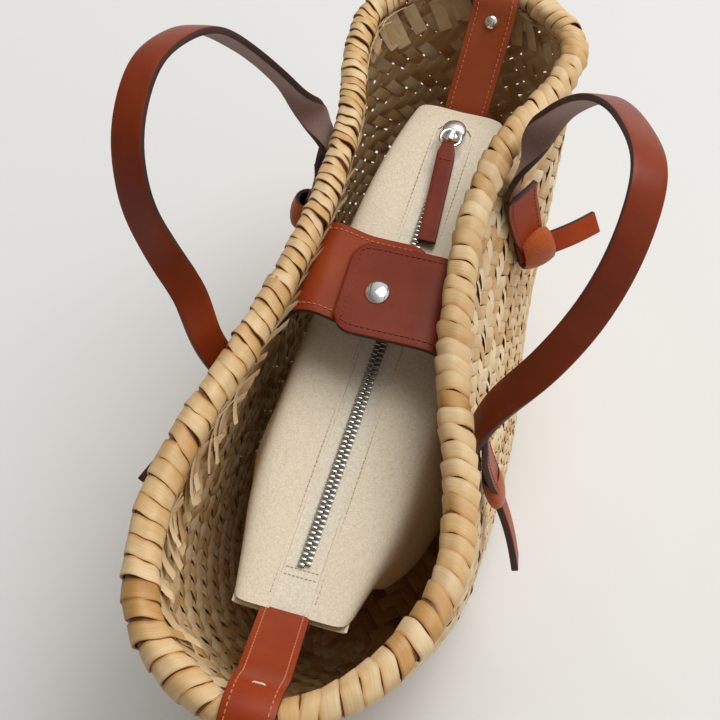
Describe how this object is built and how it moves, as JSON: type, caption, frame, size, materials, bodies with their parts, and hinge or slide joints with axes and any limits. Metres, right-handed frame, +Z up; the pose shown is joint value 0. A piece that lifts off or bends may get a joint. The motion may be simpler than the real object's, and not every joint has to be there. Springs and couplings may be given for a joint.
{
  "type": "straw bucket bag",
  "caption": "Open bucket bag of plaited straw with a wrapped rim, tied leather handles, a snapped leather closure and a zipped canvas pouch hung inside.",
  "frame": {"origin": "on the flat underside of the basket's base, which rests on the floor", "axes": "+Z up, +Y along the mouth towards the end where the zip is shut, +X to the side that the closure flap comes from"},
  "size_m": [0.22, 0.4145, 0.3157],
  "materials": {
    "straw": "dry plaited leaf strands",
    "leather": "smooth semi-matt, with painted edges",
    "canvas": "matt twill",
    "metal": "polished"
  },
  "bodies": {
    "root": {"basket": "straw", "rim_roll": "straw", "handle_left": "leather", "handle_right": "leather", "tie_left_far": "leather", "tie_left_near": "leather", "tie_right_far": "leather", "tie_right_near": "leather", "closure_flap": "leather", "closure_strip": "leather", "closure_snap": "metal", "pouch": "canvas", "zip_tape": "canvas", "zip_chain": "metal", "zip_slider": "metal", "zip_ring": "metal", "zip_pull": "leather", "strap_near": "leather", "strap_far": "leather", "strap_snap": "metal"}
  },
  "joints": []
}
